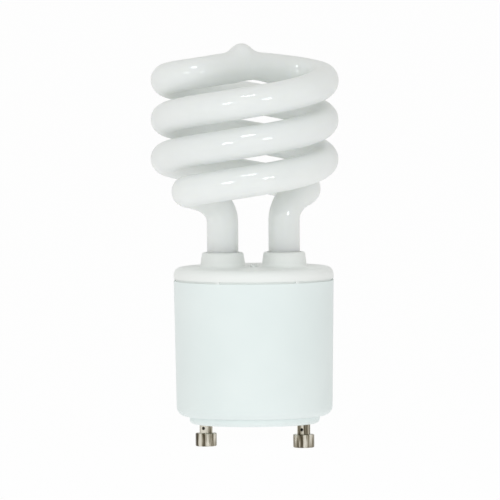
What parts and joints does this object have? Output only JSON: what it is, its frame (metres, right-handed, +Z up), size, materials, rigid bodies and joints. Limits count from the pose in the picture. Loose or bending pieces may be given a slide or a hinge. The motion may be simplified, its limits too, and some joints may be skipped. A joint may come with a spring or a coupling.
{
  "type": "spiral compact fluorescent bulb",
  "caption": "Spiral compact fluorescent bulb: a coiled glass tube on a white cup-shaped ballast housing with a two-pin twist-and-lock base.",
  "frame": {"origin": "midway between the two contact pins, on the plane of their heads' flat ends", "axes": "+Z up the housing's axis towards the glass, +X through the right-hand pin"},
  "size_m": [0.0444, 0.0443, 0.0951],
  "materials": {
    "tube_glass": "clear glass over a white powder coating",
    "housing_plastic": "fine-textured moulded plastic",
    "cover_plastic": "satin moulded plastic",
    "pin_metal": "nickel-plated and turned",
    "cement": "dry cement",
    "lead_wire": "tinned wire",
    "board": "paper laminate",
    "post_metal": "tinned brass",
    "ferrite": "dark sintered ferrite",
    "winding": "enamelled copper wire",
    "bobbin_plastic": "black moulded plastic",
    "can_sleeve": "shrunk plastic sleeve",
    "film_body": "dipped resin",
    "disc_body": "dipped resin",
    "thermistor_body": "dipped resin",
    "transistor_body": "moulded epoxy",
    "diode_body": "moulded epoxy",
    "diac_glass": "painted glass",
    "chip_body": "ceramic with a dark coat",
    "resistor_body": "lacquered ceramic",
    "wire_jacket": "soft plastic insulation"
  },
  "bodies": {
    "root": {"spiral_tube": "tube_glass", "lower_housing": "housing_plastic", "top_cover": "cover_plastic", "contact_pin_left": "pin_metal", "contact_pin_right": "pin_metal", "tube_cement_left": "cement", "tube_cement_right": "cement", "electrode_leads_left": "lead_wire", "electrode_leads_right": "lead_wire", "circuit_board": "board", "wrap_posts": "post_metal", "bulk_capacitor": "can_sleeve", "choke_core_upper": "ferrite", "choke_core_lower": "ferrite", "choke_bobbin": "bobbin_plastic", "choke_winding": "winding", "feedback_toroid": "ferrite", "feedback_windings": "winding", "transistor_high": "transistor_body", "transistor_low": "transistor_body", "rectifier_diodes": "diode_body", "coupling_capacitor": "film_body", "start_capacitor": "film_body", "snubber_capacitor": "disc_body", "preheat_thermistor": "thermistor_body", "trigger_diac": "diac_glass", "chip_resistors": "chip_body", "fusible_resistor": "resistor_body", "filter_choke_core": "ferrite", "filter_choke_winding": "winding", "input_wire_left": "wire_jacket", "input_wire_right": "wire_jacket"}
  },
  "joints": []
}
